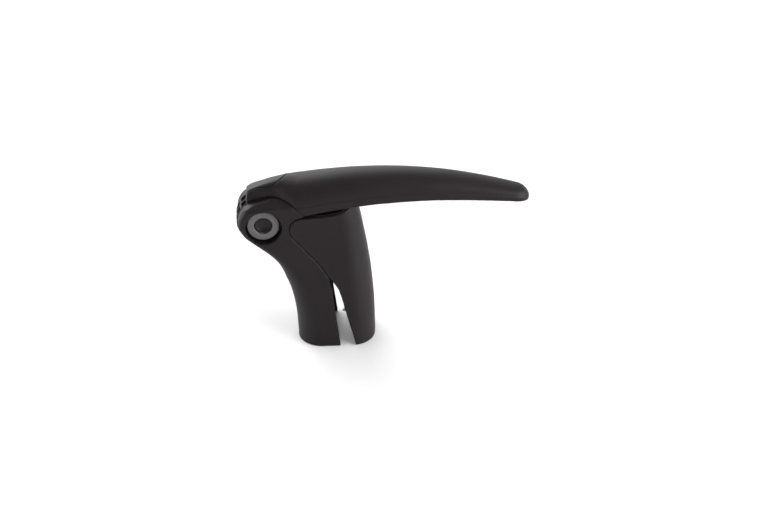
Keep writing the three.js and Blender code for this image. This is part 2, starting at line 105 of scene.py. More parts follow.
def arc(c, r, a0, a1, n=24):
    return [(c[0] + r * math.cos(math.radians(a0 + (a1 - a0) * i / n)),
             c[1] + r * math.sin(math.radians(a0 + (a1 - a0) * i / n))) for i in range(n + 1)]


# ---------------------------------------------------------------- grid fields
class Grid:
    def __init__(self, lo, hi, h):
        self.h = h
        self.lo = np.array(lo, float)
        self.n = np.ceil((np.array(hi, float) - self.lo) / h).astype(int) + 1
        ax = [self.lo[i] + h * np.arange(self.n[i]) for i in range(3)]
        self.x = ax[0][:, None, None].astype(np.float32)
        self.y = ax[1][None, :, None].astype(np.float32)
        self.z = ax[2][None, None, :].astype(np.float32)

    def side(self, pts):
        """Signed distance to an outline in the XZ plane, negative inside."""
        return poly_distance(pts, self.x[:, :, 0], self.z[0, :, :])[:, None, :]

    def plan(self, pts):
        """Signed distance to an outline in the XY plane."""
        return poly_distance(pts, self.x[:, :, 0], self.y[:, :, 0])[:, :, None]

    def disc(self, c, r):
        return np.sqrt((self.x - c[0]) ** 2 + (self.z - c[1]) ** 2) - r

    def unit(self, f):
        """Divides a field by its slope, so that it measures distance near its surface."""
        f = np.ascontiguousarray(np.broadcast_to(f, self.n), np.float32)
        g = np.gradient(f, self.h)
        return f / np.maximum(np.sqrt(g[0] ** 2 + g[1] ** 2 + g[2] ** 2), 0.25)


def poly_distance(pts, X, Y):
    p = np.array(pts, np.float32)
    X = X.astype(np.float32)
    Y = Y.astype(np.float32)
    shape = np.broadcast(X, Y).shape
    X = np.broadcast_to(X, shape)
    Y = np.broadcast_to(Y, shape)
    best = np.full(shape, 1e9, np.float32)
    inside = np.zeros(shape, bool)
    for a, b in zip(p, np.roll(p, -1, axis=0)):
        e = b - a
        l2 = float(e @ e)
        if l2 < 1e-10:
            continue
        wx, wy = X - a[0], Y - a[1]
        t = np.clip((wx * e[0] + wy * e[1]) / l2, 0, 1)
        best = np.minimum(best, (wx - e[0] * t) ** 2 + (wy - e[1] * t) ** 2)
        if a[1] != b[1]:
            cross = (a[1] > Y) != (b[1] > Y)
            inside ^= cross & (X < (b[0] - a[0]) * (Y - a[1]) / (b[1] - a[1]) + a[0])
    d = np.sqrt(best)
    return np.where(inside, -d, d)


def rmax(a, b, r):
    """Intersection with a rounded convex edge of radius r."""
    return np.minimum(np.maximum(a, b), -r) + np.sqrt(np.maximum(a + r, 0) ** 2 + np.maximum(b + r, 0) ** 2)


def rmin(a, b, r):
    """Union with a filleted inside corner of radius r."""
    return -rmax(-a, -b, r)


def step01(v, a, b):
    t = np.clip((v - a) / (b - a), 0, 1)
    return t * t * (3 - 2 * t)


def sample(F, g, pts):
    q = (pts - g.lo) / g.h
    i = np.clip(np.floor(q).astype(int), 0, g.n - 2)
    f = q - i
    out = 0
    for dx in (0, 1):
        for dy in (0, 1):
            for dz in (0, 1):
                w = ((f[:, 0] if dx else 1 - f[:, 0]) * (f[:, 1] if dy else 1 - f[:, 1]) * (f[:, 2] if dz else 1 - f[:, 2]))
                out = out + w * F[i[:, 0] + dx, i[:, 1] + dy, i[:, 2] + dz]
    return out


def slope(F, g, pts):
    e = g.h * 0.7
    out = np.zeros_like(pts)
    for k in range(3):
        d = np.zeros(3)
        d[k] = e
        out[:, k] = (sample(F, g, pts + d) - sample(F, g, pts - d)) / (2 * e)
    return out


def net(F, g):
    """Quads on the zero surface of a grid field: one point in each cell that the
    surface crosses, then drawn onto it."""
    F = np.ascontiguousarray(np.broadcast_to(F, g.n), np.float32).copy()
    for k in range(3):                       # nothing is open at the grid's own edge
        for s in (0, -1):
            sl = [slice(None)] * 3
            sl[k] = s
            F[tuple(sl)] = np.maximum(F[tuple(sl)], 0.5 * g.h)
    F[F == 0] = 1e-6
    inside = F < 0
    nx, ny, nz = g.n
    c = np.zeros((nx - 1, ny - 1, nz - 1), np.int8)
    for dx in (0, 1):
        for dy in (0, 1):
            for dz in (0, 1):
                c += inside[dx:nx - 1 + dx, dy:ny - 1 + dy, dz:nz - 1 + dz]
    cells = np.argwhere((c > 0) & (c < 8))
    index = np.full(c.shape, -1, np.int64)
    index[tuple(cells.T)] = np.arange(len(cells))
    corner = {}
    for dx in (0, 1):
        for dy in (0, 1):
            for dz in (0, 1):
                corner[dx, dy, dz] = F[cells[:, 0] + dx, cells[:, 1] + dy, cells[:, 2] + dz].astype(float)
    total = np.zeros((len(cells), 3))
    count = np.zeros(len(cells))
    for axis in range(3):
        others = [k for k in range(3) if k != axis]
        for u in (0, 1):
            for v in (0, 1):
                a = [0, 0, 0]
                a[others[0]], a[others[1]] = u, v
                b = list(a)
                b[axis] = 1
                fa, fb = corner[tuple(a)], corner[tuple(b)]
                hit = (fa < 0) != (fb < 0)
                t = np.where(hit, fa / np.where(hit, fa - fb, 1), 0)
                pt = np.tile(np.array(a, float), (len(cells), 1))
                pt[:, axis] = t
                total += pt * hit[:, None]
                count += hit
    pts = g.lo + g.h * (cells + total / count[:, None])
    for _ in range(3):
        f = sample(F, g, pts)
        n = slope(F, g, pts)
        l2 = np.maximum((n ** 2).sum(1), 0.2)
        stepv = -(f / l2)[:, None] * n
        length = np.linalg.norm(stepv, axis=1)
        stepv *= np.minimum(1, 0.35 * g.h / np.maximum(length, 1e-9))[:, None]
        pts = pts + stepv
    faces = []
    for axis in range(3):
        u, v = [(1, 2), (2, 0), (0, 1)][axis]
        a = [slice(None)] * 3
        b = [slice(None)] * 3
        a[axis], b[axis] = slice(0, -1), slice(1, None)
        sa, sb = inside[tuple(a)], inside[tuple(b)]
        e = np.argwhere(sa != sb)
        ok = (e[:, u] > 0) & (e[:, v] > 0) & (e[:, u] < g.n[u] - 1) & (e[:, v] < g.n[v] - 1)
        e = e[ok]
        du = np.zeros(3, int)
        du[u] = 1
        dv = np.zeros(3, int)
        dv[v] = 1
        q = np.stack([index[tuple((e - du - dv).T)], index[tuple((e - dv).T)], index[tuple(e.T)], index[tuple((e - du).T)]], 1)
        flip = ~sa[tuple(e.T)]
        q[flip] = q[flip][:, ::-1]
        faces.append(q)
    return pts, np.concatenate(faces)


def to_object(name, pts, faces, keep_largest=True):
    mesh = bpy.data.meshes.new(name)
    world = (pts + np.array([SX, 0, 0])) / 1000.0
    mesh.vertices.add(len(world))
    mesh.vertices.foreach_set("co", world.astype(np.float32).ravel())
    faces = np.asarray(faces, np.int32)
    k = faces.shape[1]
    mesh.loops.add(faces.size)
    mesh.loops.foreach_set("vertex_index", faces.ravel())
    mesh.polygons.add(len(faces))
    mesh.polygons.foreach_set("loop_start", np.arange(0, faces.size, k, dtype=np.int32))
    mesh.polygons.foreach_set("loop_total", np.full(len(faces), k, np.int32))
    mesh.polygons.foreach_set("use_smooth", np.ones(len(faces), bool))
    mesh.update(calc_edges=True)
    mesh.validate()
    obj = bpy.data.objects.new(name, mesh)
    bpy.context.scene.collection.objects.link(obj)
    return obj


def solid_piece(name, g, F):
    pts, faces = net(F, g)
    # surface islands smaller than a real feature are left out
    label = np.arange(len(pts))
    for _ in range(60):
        m = label[faces].min(1)
        new = label.copy()
        for k in range(4):
            np.minimum.at(new, faces[:, k], m)
        new = new[new]
        if (new == label).all():
            break
        label = new
    ids, cnt = np.unique(label, return_counts=True)
    small = set(ids[cnt < 60])
    if small:
        keep_v = ~np.isin(label, list(small))
        remap = np.cumsum(keep_v) - 1
        faces = remap[faces[keep_v[faces].all(1)]]
        pts = pts[keep_v]
    return to_object(name, pts, faces)


# --------------------------------------------------------------- object shape
DEPTH = pchip([(0, 18.2), (20, 17.3), (40, 15.7), (55, 14.5), (65, 13.8), (72, 13.5), (95, 13.5)])
ROUND_REAR = pchip([(0, 13.5), (20, 13.2), (35, 12.0), (45, 9.5), (55, 6.0), (62, 4.0), (68, 3.2), (90, 3.2)])
ROUND_FRONT = pchip([(0, 13.8), (20, 14.0), (45, 13.2), (60, 12.4), (75, 11.6), (90, 11.2)])
RIGHT = pchip([(0, 21.4), (3.2, 21.6), (11.3, 21.45), (21.5, 21.2), (29.5, 20.7), (35.5, 20.15), (43.5, 19.3),
               (49.4, 18.45), (55.3, 17.6), (61.2, 16.6), (67.1, 15.5), (73, 14.45), (78.8, 13.15), (83, 12.1), (87, 11.0), (95, 9.0)])
REAR_LINE = [(-21.4, -1), (-21.6, 3), (-21.85, 7.6), (-22.2, 13.7), (-22.9, 19.7), (-23.95, 25.8), (-25.4, 31.8),
             (-26.75, 36.0), (-28.3, 40.3), (-29.7, 44.6), (-31.45, 48.6), (-33.7, 52.3), (-36.8, 56.1), (-40.9, 60.1),
             (-44.5, 63.2)]
BOSS = (-40.7, 76.5)
S_LINE = [(-48, 86.6), (-45.1, 88.1), (-39.7, 89.5), (-36.4, 90.4), (-33.5, 90.7), (-30, 90.5),
          (-27, 89.7), (-24.5, 88.1), (-22.3, 86.2), (-19.6, 84.0), (-17.0, 82.3)]
PARTING = [(-22.7, 66.9), (-20.0, 63.9), (-17.3, 60.7), (-14.1, 56.9), (-10.8, 53.1), (-8.4, 49.7), (-6.3, 46.3), (-4.4, 43.2)]
JAW_EDGE = [(-2.9, 41.3), (0.3, 36.2), (2.2, 30.7), (4.1, 23.2), (6.0, 15.6), (8.2, 7.6), (10.0, 0)]
LEG_EDGE = [(-4.8, 42.6), (-4.1, 40.0), (-2.7, 32.5), (-1.1, 20.3), (1.2, 2.3), (1.4, 0)]
JAW_TOP = [(-21.0, 79.9), (-17.5, 80.4), (-13.4, 80.6), (-6.4, 81.0), (0.6, 82.4), (4.1, 83.5), (6.9, 85.0), (9.4, 86.1)]
TONGUE_SIDE = [(-44, -3.5), (-39.5, -4.0), (-35.1, -4.5), (-32.8, -4.1), (-30, -2.4), (-27.9, 0.4), (-26.4, 3.2),
               (-26.0, 4.6), (-27.2, 5.6), (-31, 5.2), (-35.1, 4.5), (-39.5, 4.0), (-44, 3.5)]
BORE_R0, BORE_TAPER, BORE_TOP = 16.2, 0.058, 50.0
LEVER_W = [(-56, 3.9), (-50, 4.4), (-48.8, 4.85), (-47.6, 5.15), (-46, 5.36), (-44, 5.45), (-38, 5.5), (-34.5, 6.1), (-31, 7.9),
           (-28, 9.9), (-25, 11.6), (-22, 12.8), (-18, 13.4), (-10, 13.5), (0, 13.2), (15, 12.6), (30, 11.8), (45, 11.0),
           (60, 10.2), (75, 9.2), (90, 8.15), (96, 7.6), (100, 7.1), (102.5, 6.25), (104.4, 5.0), (105.7, 3.55), (106.3, 2.3),
           (106.5, 0.6)]
CREASE = pchip([(-56, 84), (-44, 84.2), (-38, 85.2), (-34.5, 86.2), (-31, 86.7), (-28, 86.9), (-22, 87.0), (-18, 87.4),
                (-10, 89.1), (0, 90.3), (15, 91.7), (30, 92.6), (45, 92.7), (60, 91.7), (75, 90.2), (90, 88.3), (98, 86.9), (107, 85.2)])
CHEEK_CREASE = pchip([(-56, 84.0), (-48, 85.2), (-44, 85.9), (-40, 86.3), (-34.5, 86.8), (-28, 87.0), (-20, 87.3), (-10, 88.5)])
CROWN = pchip([(-56, 88.6), (-50, 91.9), (-48.5, 93.0), (-47, 94.1), (-45, 95.1), (-43, 95.95), (-41, 96.7), (-39, 97.4),
               (-36, 98.4), (-33, 99.25), (-30, 99.9), (-26, 100.2), (-22, 100.25), (-18, 100.5), (-14, 100.95), (-10, 101.35),
               (-5, 101.9), (0, 102.35), (5, 102.7), (10, 102.95), (20, 103.1), (27, 103.0), (37, 102.6), (45, 101.9),
               (52, 101.15), (60, 100.05), (68, 98.6), (75, 97.1), (82, 95.4), (90, 93.25), (95, 91.8), (98, 90.95), (100, 90.4),
               (102, 89.9), (104, 89.1), (105.5, 88.0), (107, 86.8)])
FULLNESS = pchip([(-56, 4.5), (-44, 4.5), (-38, 4.2), (-34.5, 3.6), (-31, 3.0), (-28, 2.7), (-25, 2.45), (-22, 2.3), (-18, 2.2),
                  (-10, 2.12), (0, 2.06), (60, 2.06), (80, 2.08), (107, 2.1)])
BOTTOM = pchip([(-17.6, 81.9), (-13.3, 83.0), (-6.3, 84.3), (0.6, 85.3), (8.3, 86.2), (12.4, 86.7), (18, 87.2), (24, 87.55),
                (32, 87.8), (38, 87.95), (45, 88.0), (52, 87.9), (60, 87.55), (68, 87.0), (75, 86.4), (82, 85.75), (90, 84.9),
                (95, 84.3), (100, 83.5), (104, 82.9), (108, 82.4)])
NOSE = [(-48.75, 86.8), (-48.7, 88.6), (-48.6, 90.4), (-48.45, 92.0), (-48.2, 94.0), (-47.8, 97.4)]


def shell_depth(g):
    return np.abs(g.y) - DEPTH(g.z)


def bore(g, dr=0.0):
    r = BORE_R0 - BORE_TAPER * g.z - dr
    return np.maximum(np.sqrt(g.x ** 2 + g.y ** 2) - r, g.z - BORE_TOP)


def slab(v, a, b):
    """Distance to a slab between two positions along one axis."""
    return np.abs(v - (a + b) / 2) - (b - a) / 2


def box_field(g, x0, x1, y0, y1, z0, z1):
    return np.maximum(np.maximum(slab(g.x, x0, x1), slab(g.y, y0, y1)), slab(g.z, z0, z1))


# ------------------------------------------------------------------ rear body
def rear_body():
    g = Grid((-55.2, -19.4, -1.0), (4.6, 19.4, 92.6), FINE)
    outline = ([(-21.0, -60)] + curve(REAR_LINE, 0.5) + arc((-40.3, 76.7), 12.9, 226, 200, 14) + arc(BOSS, 12.95, 198, 116, 46)
               + [(-40.0, 91.6), (-20, 102), (70, 102), (70, -60)])
    sil = g.side(outline)
    # the cheeks stand a little below the rim that runs round the boss
    rim = step01(-sil, 2.8, 4.6) * step01(g.z, 60, 68) * step01(CHEEK_CREASE(g.x) - g.z, 0.4, 2.0) * step01(-26.5 - g.x, -4, 4)
    f = rmax(sil, shell_depth(g) + 0.28 * rim - 0.35 * step01(14 - g.z, 0, 12), ROUND_REAR(g.z).astype(np.float32))
    facet = (np.abs(g.y) - 13.5) * 0.57 + (g.z - CHEEK_CREASE(g.x)) * 0.82
    f = rmax(f, facet, 0.9)
    hip = arc(J, 7.75, 97, 222, 40)
    part = ([(-80, -0.0), (-80, 84.0)] + [(-52.5, 84.2)] + curve(S_LINE, 0.5) + hip
            + curve([(x - 0.32, z) for x, z in PARTING], 0.5) + curve(LEG_EDGE[:-1], 0.6) + [LEG_EDGE[-1]])
    f = rmax(f, g.side(part), 0.26)
    # lugs for the jaw hinge
    lug = g.side(arc(J, 6.0, -90, 90, 20) + [(-30, 79.4), (-30, 67.4)])
    lug = np.maximum(lug, slab(np.abs(g.y), 5.5, 9.4))
    f = np.minimum(f, lug)
    slot = np.minimum(g.disc(P, 15.2), g.side([(-70, 62.5), (P[0], 62.5), (P[0], 66), (0, 66), (0, 110), (-70, 110)]))
    f = rmax(f, -np.maximum(np.abs(g.y) - 5.5, slot), 0.4)
    f = rmax(f, -np.maximum(np.sqrt((g.x + 39.8) ** 2 + (g.z - 74.9) ** 2) - 9.95, 7.7 - np.abs(g.y)), 0.35)
    f = np.maximum(f, -g.disc(P, 4.5))
    f = np.maximum(f, -g.disc(J, 2.3))
    f = rmax(f, -bore(g), 0.5)
    return solid_piece("rear_body_shell", g, f)


# ------------------------------------------------------------------ front jaw
def front_jaw():
    g = Grid((-27.2, -19.4, -1.0), (23.0, 19.4, 87.4), FINE)
    xr = RIGHT(g.z)
    sil = g.x - xr.astype(np.float32)
    flare = pchip([(0, 0.5), (20, 0.35), (55, 0.0)])(g.z).astype(np.float32)
    f = rmax(sil, shell_depth(g) - flare, ROUND_FRONT(g.z).astype(np.float32))
    outline = (arc(J, 7.45, 128, 222, 36) + curve(PARTING, 0.5) + curve(JAW_EDGE, 0.5) + [(40, 0), (40, 86.3), (10.4, 86.3)]
               + curve(JAW_TOP, 0.5)[::-1])
    f = rmax(f, g.side(outline), 0.42)
    # room for the lugs of the rear body between the fork walls
    room = np.minimum(box_field(g, -40, -10.6, -9.7, 9.7, 62.5, 95),
                      np.maximum(g.side([(-30, 64), (-10.6, 64), (-10.6, 60), (-13.6, 57.4), (-22, 62)]), np.abs(g.y) - 9.7))
    f = np.maximum(f, -room)
    well = np.maximum(g.side([(-10.6, 64), (-10.6, 95), (5.5, 95), (6.5, 72), (4, 64)]), slab(np.abs(g.y), 5.8, 10.2))
    f = rmax(f, -well, 0.4)
    finger = np.maximum(g.side(arc(J, 4.8, 200, 275, 12) + [(-8, 68.0), (-8, 78.6), (-14.2, 78.6), (-18.4, 83.2), (-20.6, 84.4),
                                                          (-22.5, 83.6), (-22.9, 81.2)]), np.abs(g.y) - 2.3)
    f = np.minimum(f, finger)
    f = np.maximum(f, -np.maximum(g.disc(J, 2.3), np.abs(g.y) - 12.3))
    f = rmax(f, -bore(g), 0.5)
    return solid_piece("front_jaw_shell", g, f)


# ---------------------------------------------------------------------- lever
def lever_plan():
    w = pchip(LEVER_W)
    xs = np.concatenate([np.arange(-60, 96, 1.0), np.arange(96, 106.45, 0.3)])
    near = [(x, -float(w(x))) for x in xs]
    return near + [(106.5, 0.0)] + [(x, -y) for x, y in near[::-1]]


PLAN = lever_plan()
W0 = pchip([(x, max(w, 6.2) if x > 60 else w) for x, w in LEVER_W])


def dome(g):
    d = g.plan(PLAN)
    zc, zt, n = CREASE(g.x), CROWN(g.x), FULLNESS(g.x)
    below = zc - g.z
    w0 = W0(g.x)
    ledge = 0.46 * step01(below, -0.15, 0.6) - 0.08 * np.maximum(below, 0)
    u = np.maximum(1 + (d - ledge * (g.x > -60)) / w0, 0)
    v = np.maximum(-below, 0) / (zt - zc)
    f = ((u ** n + v ** n) ** (1 / n) - 1) * w0
    return g.unit(f)


def region(g, gap=0.14):
    low = [(x, z + gap) for x, z in curve(S_LINE, 0.5) if x > -48.4]
    bottom = [(x, float(BOTTOM(x))) for x in np.arange(-16.4, 108, 1.0)]
    return g.side(curve(NOSE, 0.5)[::-1] + low + bottom + [(125, 82), (125, 120), (-47.8, 120)])


def tongue_plan(g, grow):
    pts = [(-60, -3.3)] + curve(TONGUE_SIDE, 0.4) + [(-60, 3.3)]
    return g.plan(pts) - grow


def lever_cover():
    g = Grid((-50.0, -14.6, 80.6), (108.0, 14.6, 104.4), FINE)
    d = dome(g)
    f = rmax(d, region(g), 0.34)
    # rounded back end of the neck
    t = np.interp(g.x, [-36, -28, 95, 101], [1.3, 2.0, 2.0, 2.6]).astype(np.float32)
    f = rmax(f, -np.maximum(d + t, g.x - 101.5), 0.3)
    f = rmax(f, -np.maximum(tongue_plan(g, 0.12), 60 - g.z), 0.34)
    return solid_piece("lever_cover_shell", g, f)


def lever_core():
    h = FINE * 0.8
    g = Grid((-55.2, -6.6, 60.2), (-12.0, 6.6, 100.6), h)
    hub = np.minimum(g.disc(P, 11.0), g.side(arc(P, 14.5, 62, 236, 60) + [P]))
    hub = rmax(hub, np.abs(g.y) - 5.2, 0.5)
    nose = np.maximum(g.side([(-33, 75), (-30.4, 74.8), (-24.6, 79.9), (-23.25, 81.6), (-23.4, 83.6), (-26, 86), (-33, 86)]),
                      np.abs(g.y) - 2.6)
    neck = np.maximum(g.side([(-46.8, 84), (-46.6, 90.0), (-44, 91.6), (-40, 92.2), (-30, 94.5), (-12.5, 96.0), (-12.5, 87.2),
                              (-30, 87.5), (-33, 84)]), np.abs(g.y) - 3.5)
    f = np.minimum(np.minimum(hub, nose), neck)
    # below the cover, the neck is as wide as the hub
    wing = np.maximum(g.side([(-48.9, 86.3)] + [(x, z - 0.05) for x, z in curve(S_LINE, 0.5)] + [(-10, 81), (-10, 130), (-48.9, 130)]),
                      3.8 - np.abs(g.y))
    f = np.maximum(f, -wing)
    tongue = np.maximum(dome(g) + 0.22, tongue_plan(g, -0.34))
    tongue = rmax(tongue, g.side(curve(NOSE, 0.5) + [(-47.8, 120), (-20, 120), (-20, 92.5), (-30, 90.5), (-40, 86.0), (-47, 86.0)]), 0.5)
    tongue = np.maximum(tongue, g.x + 26.0)
    f = np.minimum(f, tongue)
    for a0, a1 in ((129.2, 143.8), (149.4, 167), (172.8, 190), (195.8, 213)):
        pocket = g.side(arc(P, 17.8, a0, a1, 8) + arc(P, 8.6, a1, a0, 8))
        pocket = np.maximum(pocket, slab(np.abs(g.y), 0.6, 4.55))
        f = rmax(f, -pocket, 0.25)
    f = np.maximum(f, -g.disc(P, 6.5))
    return solid_piece("lever_core_shell", g, f)


# --------------------------------------------------------------- round pieces
def lathe_y(name, profile, x, z, seg=96, mirror=False):
    """Surface of revolution about a Y line; profile is (radius, y), closed or from axis to axis."""
    bm = bmesh.new()
    closed = profile[0] == profile[-1]
    prof = profile[:-1] if closed else profile
    rings = []
    for r, y in prof:
        yy = -y if mirror else y
        if r < 1e-9:
            rings.append([bm.verts.new(((x + SX) / 1000, yy / 1000, z / 1000))])
        else:
            rings.append([bm.verts.new(((x + SX + r * math.cos(2 * math.pi * i / seg)) / 1000, yy / 1000,
                                        (z + r * math.sin(2 * math.pi * i / seg)) / 1000)) for i in range(seg)])
    m = len(rings)
    for k in range(m if closed else m - 1):
        a, b = rings[k], rings[(k + 1) % m]
        for i in range(seg):
            j = (i + 1) % seg
            if len(a) == 1:
                bm.faces.new((a[0], b[j], b[i]))
            elif len(b) == 1:
                bm.faces.new((a[i], a[j], b[0]))
            else:
                bm.faces.new((a[i], a[j], b[j], b[i]))
    bmesh.ops.recalc_face_normals(bm, faces=bm.faces)
    mesh = bpy.data.meshes.new(name)
    bm.to_mesh(mesh)
    bm.free()
    for p in mesh.polygons:
        p.use_smooth = True
    o = bpy.data.objects.new(name, mesh)
    bpy.context.scene.collection.objects.link(o)
    return o


def rounded(profile, r=0.25, n=5):
    """Rounds the corners of a closed (radius, y) profile."""
    p = [np.array(q, float) for q in profile[:-1]]
    out = []
    for i, q in enumerate(p):
        a, b = p[i - 1], p[(i + 1) % len(p)]
        la, lb = np.linalg.norm(a - q), np.linalg.norm(b - q)
        k = min(r, 0.45 * la, 0.45 * lb)
        s, e = q + (a - q) / la * k, q + (b - q) / lb * k
        for t in np.linspace(0, 1, n):
            out.append(tuple((1 - t) ** 2 * s + 2 * t * (1 - t) * q + t * t * e))
    out.append(out[0])
    return out


def pivot_ring(name, mirror):
    prof = [(5.0, 8.0), (8.75, 8.0), (8.75, 11.0), (5.0, 11.0), (5.0, 8.0)]
    return lathe_y(name, rounded(prof, 0.55, 7), P[0], P[1], 128, mirror)


def pin_cap(name, mirror):
    prof = [(0, 8.5), (4.55, 8.5), (4.68, 8.6), (4.7, 8.8), (4.7, 9.45), (4.62, 9.62), (4.4, 9.7), (4.1, 9.6), (3.7, 9.38), (3.1, 9.1),
            (2.4, 8.88), (1.6, 8.74), (0.8, 8.68), (0, 8.66)]
    return lathe_y(name, prof, P[0], P[1], 96, mirror)


# --------------------------------------------------------------------- liners
def liners():
    made = []
    h = FINE * 0.85
    g = Grid((-16.2, -16.2, 12.0), (2.2, 16.2, 45.2), h)
    # shallow grip ribs on the inner face
    r = np.sqrt(g.x ** 2 + g.y ** 2) - (BORE_R0 - BORE_TAPER * g.z - 1.6)
    ribs = 0.22 * (0.5 + 0.5 * np.cos(2 * np.pi * (g.z - 13) / 2.4))
    f = np.maximum(bore(g, 0.3), -r + ribs)
    cut = [(-40, 13)] + curve([(-0.9, 13), (-2.0, 20.3), (-3.6, 32.5), (-5.0, 40.0), (-5.7, 43.0), (-5.8, 44)], 0.8) + [(-40, 44)]
    f = rmax(f, g.side(cut), 0.35)
    made.append(solid_piece("rear_liner", g, f))
    for name, z0, z1 in (("front_liner_upper", 21.1, 44.0), ("front_liner_lower", 6.0, 19.7)):
        g = Grid((-4.2, -16.2, z0 - 1), (16.2, 16.2, z1 + 1), h)
        r = np.sqrt(g.x ** 2 + g.y ** 2) - (BORE_R0 - BORE_TAPER * g.z - 1.6)
        ribs = 0.22 * (0.5 + 0.5 * np.cos(2 * np.pi * (g.z - z0) / 2.4))
        f = np.maximum(bore(g, 0.3), -r + ribs)
        f = rmax(f, np.maximum(slab(g.z, z0, z1), g.side([(10.4, 5), (7.5, 15.6), (5.6, 23.2), (3.7, 30.7), (1.8, 36.2), (-1.0, 41.9),
                                                          (-2.6, 45), (30, 45), (30, 5)])), 0.3)
        made.append(solid_piece(name, g, f))
    return made


# ------------------------------------------------------------------ materials
def tree(name):
    m = bpy.data.materials.new(name)
    m.use_nodes = True
    nt = m.node_tree
    b = next(n for n in nt.nodes if n.type == "BSDF_PRINCIPLED")
    return m, nt, b


def link(nt, a, b):
    nt.links.new(a, b)


def node(nt, kind, **inputs):
    n = nt.nodes.new(kind)
    for k, v in inputs.items():
        if k in n.inputs:
            n.inputs[k].default_value = v
        else:
            setattr(n, k, v)
    return n


def coords(nt):
    return nt.nodes.new("ShaderNodeTexCoord").outputs["Object"]


def ramp(nt, source, stops):
    r = nt.nodes.new("ShaderNodeValToRGB")
    el = r.color_ramp.elements
    while len(el) < len(stops):
        el.new(0.5)
    for e, (p, c) in zip(el, stops):
        e.position = p
        e.color = (*c, 1) if len(c) == 3 else c
    link(nt, source, r.inputs["Fac"])
    return r.outputs["Color"]


def moulded_plastic(name, base, dark, rough=(0.42, 0.5), grain=0.16, spec=0.5, sheen=0.0):
    """Fine spark-eroded moulding texture: a tight grain in the bump, and a slow drift
    in colour and roughness."""
    m, nt, b = tree(name)
    c = coords(nt)
    fine = node(nt, "ShaderNodeTexNoise", Scale=2600.0, Detail=3.0, Roughness=0.6)
    link(nt, c, fine.inputs["Vector"])
    mid = node(nt, "ShaderNodeTexVoronoi", Scale=1900.0, Randomness=1.0)
    link(nt, c, mid.inputs["Vector"])
    slow = node(nt, "ShaderNodeTexNoise", Scale=38.0, Detail=4.0, Roughness=0.55)
    link(nt, c, slow.inputs["Vector"])
    col = ramp(nt, slow.outputs["Fac"], [(0.3, dark), (0.7, base)])
    speck = node(nt, "ShaderNodeMixRGB", blend_type="MULTIPLY")
    speck.inputs["Fac"].default_value = 0.35
    link(nt, col, speck.inputs["Color1"])
    sp = ramp(nt, fine.outputs["Fac"], [(0.35, (0.72, 0.72, 0.72)), (0.62, (1.12, 1.12, 1.12))])
    link(nt, sp, speck.inputs["Color2"])
    link(nt, speck.outputs["Color"], b.inputs["Base Color"])
    rr = node(nt, "ShaderNodeMapRange")
    rr.inputs["To Min"].default_value, rr.inputs["To Max"].default_value = rough
    link(nt, slow.outputs["Fac"], rr.inputs["Value"])
    link(nt, rr.outputs["Result"], b.inputs["Roughness"])
    add = node(nt, "ShaderNodeMath", operation="ADD")
    link(nt, fine.outputs["Fac"], add.inputs[0])
    link(nt, mid.outputs["Distance"], add.inputs[1])
    bump = node(nt, "ShaderNodeBump", Strength=grain, Distance=0.0001)
    link(nt, add.outputs["Value"], bump.inputs["Height"])
    link(nt, bump.outputs["Normal"], b.inputs["Normal"])
    b.inputs["Specular IOR Level"].default_value = spec
    b.inputs["IOR"].default_value = 1.5
    if sheen:
        b.inputs["Sheen Weight"].default_value = sheen
        b.inputs["Sheen Roughness"].default_value = 0.5
    return m


def rubber(name):
    m, nt, b = tree(name)
    c = coords(nt)
    n1 = node(nt, "ShaderNodeTexNoise", Scale=900.0, Detail=4.0)
    link(nt, c, n1.inputs["Vector"])
    link(nt, ramp(nt, n1.outputs["Fac"], [(0.3, (0.006, 0.006, 0.006)), (0.75, (0.018, 0.018, 0.018))]), b.inputs["Base Color"])
    bump = node(nt, "ShaderNodeBump", Strength=0.3, Distance=0.0001)
    link(nt, n1.outputs["Fac"], bump.inputs["Height"])
    link(nt, bump.outputs["Normal"], b.inputs["Normal"])
    rr = node(nt, "ShaderNodeMapRange")
    rr.inputs["To Min"].default_value, rr.inputs["To Max"].default_value = 0.65, 0.85
    link(nt, n1.outputs["Fac"], rr.inputs["Value"])
    link(nt, rr.outputs["Result"], b.inputs["Roughness"])
    return m


def satin_ring(name):
    m, nt, b = tree(name)
    c = coords(nt)
    n1 = node(nt, "ShaderNodeTexNoise", Scale=1500.0, Detail=3.0)
    link(nt, c, n1.inputs["Vector"])
    n2 = node(nt, "ShaderNodeTexNoise", Scale=90.0, Detail=3.0)
    link(nt, c, n2.inputs["Vector"])
    link(nt, ramp(nt, n2.outputs["Fac"], [(0.3, (0.050, 0.048, 0.048)), (0.7, (0.060, 0.058, 0.058))]), b.inputs["Base Color"])
    rr = node(nt, "ShaderNodeMapRange")
    rr.inputs["To Min"].default_value, rr.inputs["To Max"].default_value = 0.36, 0.48
    link(nt, n2.outputs["Fac"], rr.inputs["Value"])
    link(nt, rr.outputs["Result"], b.inputs["Roughness"])
    bump = node(nt, "ShaderNodeBump", Strength=0.08, Distance=0.0001)
    link(nt, n1.outputs["Fac"], bump.inputs["Height"])
    link(nt, bump.outputs["Normal"], b.inputs["Normal"])
    b.inputs["Metallic"].default_value = 0.0
    return m


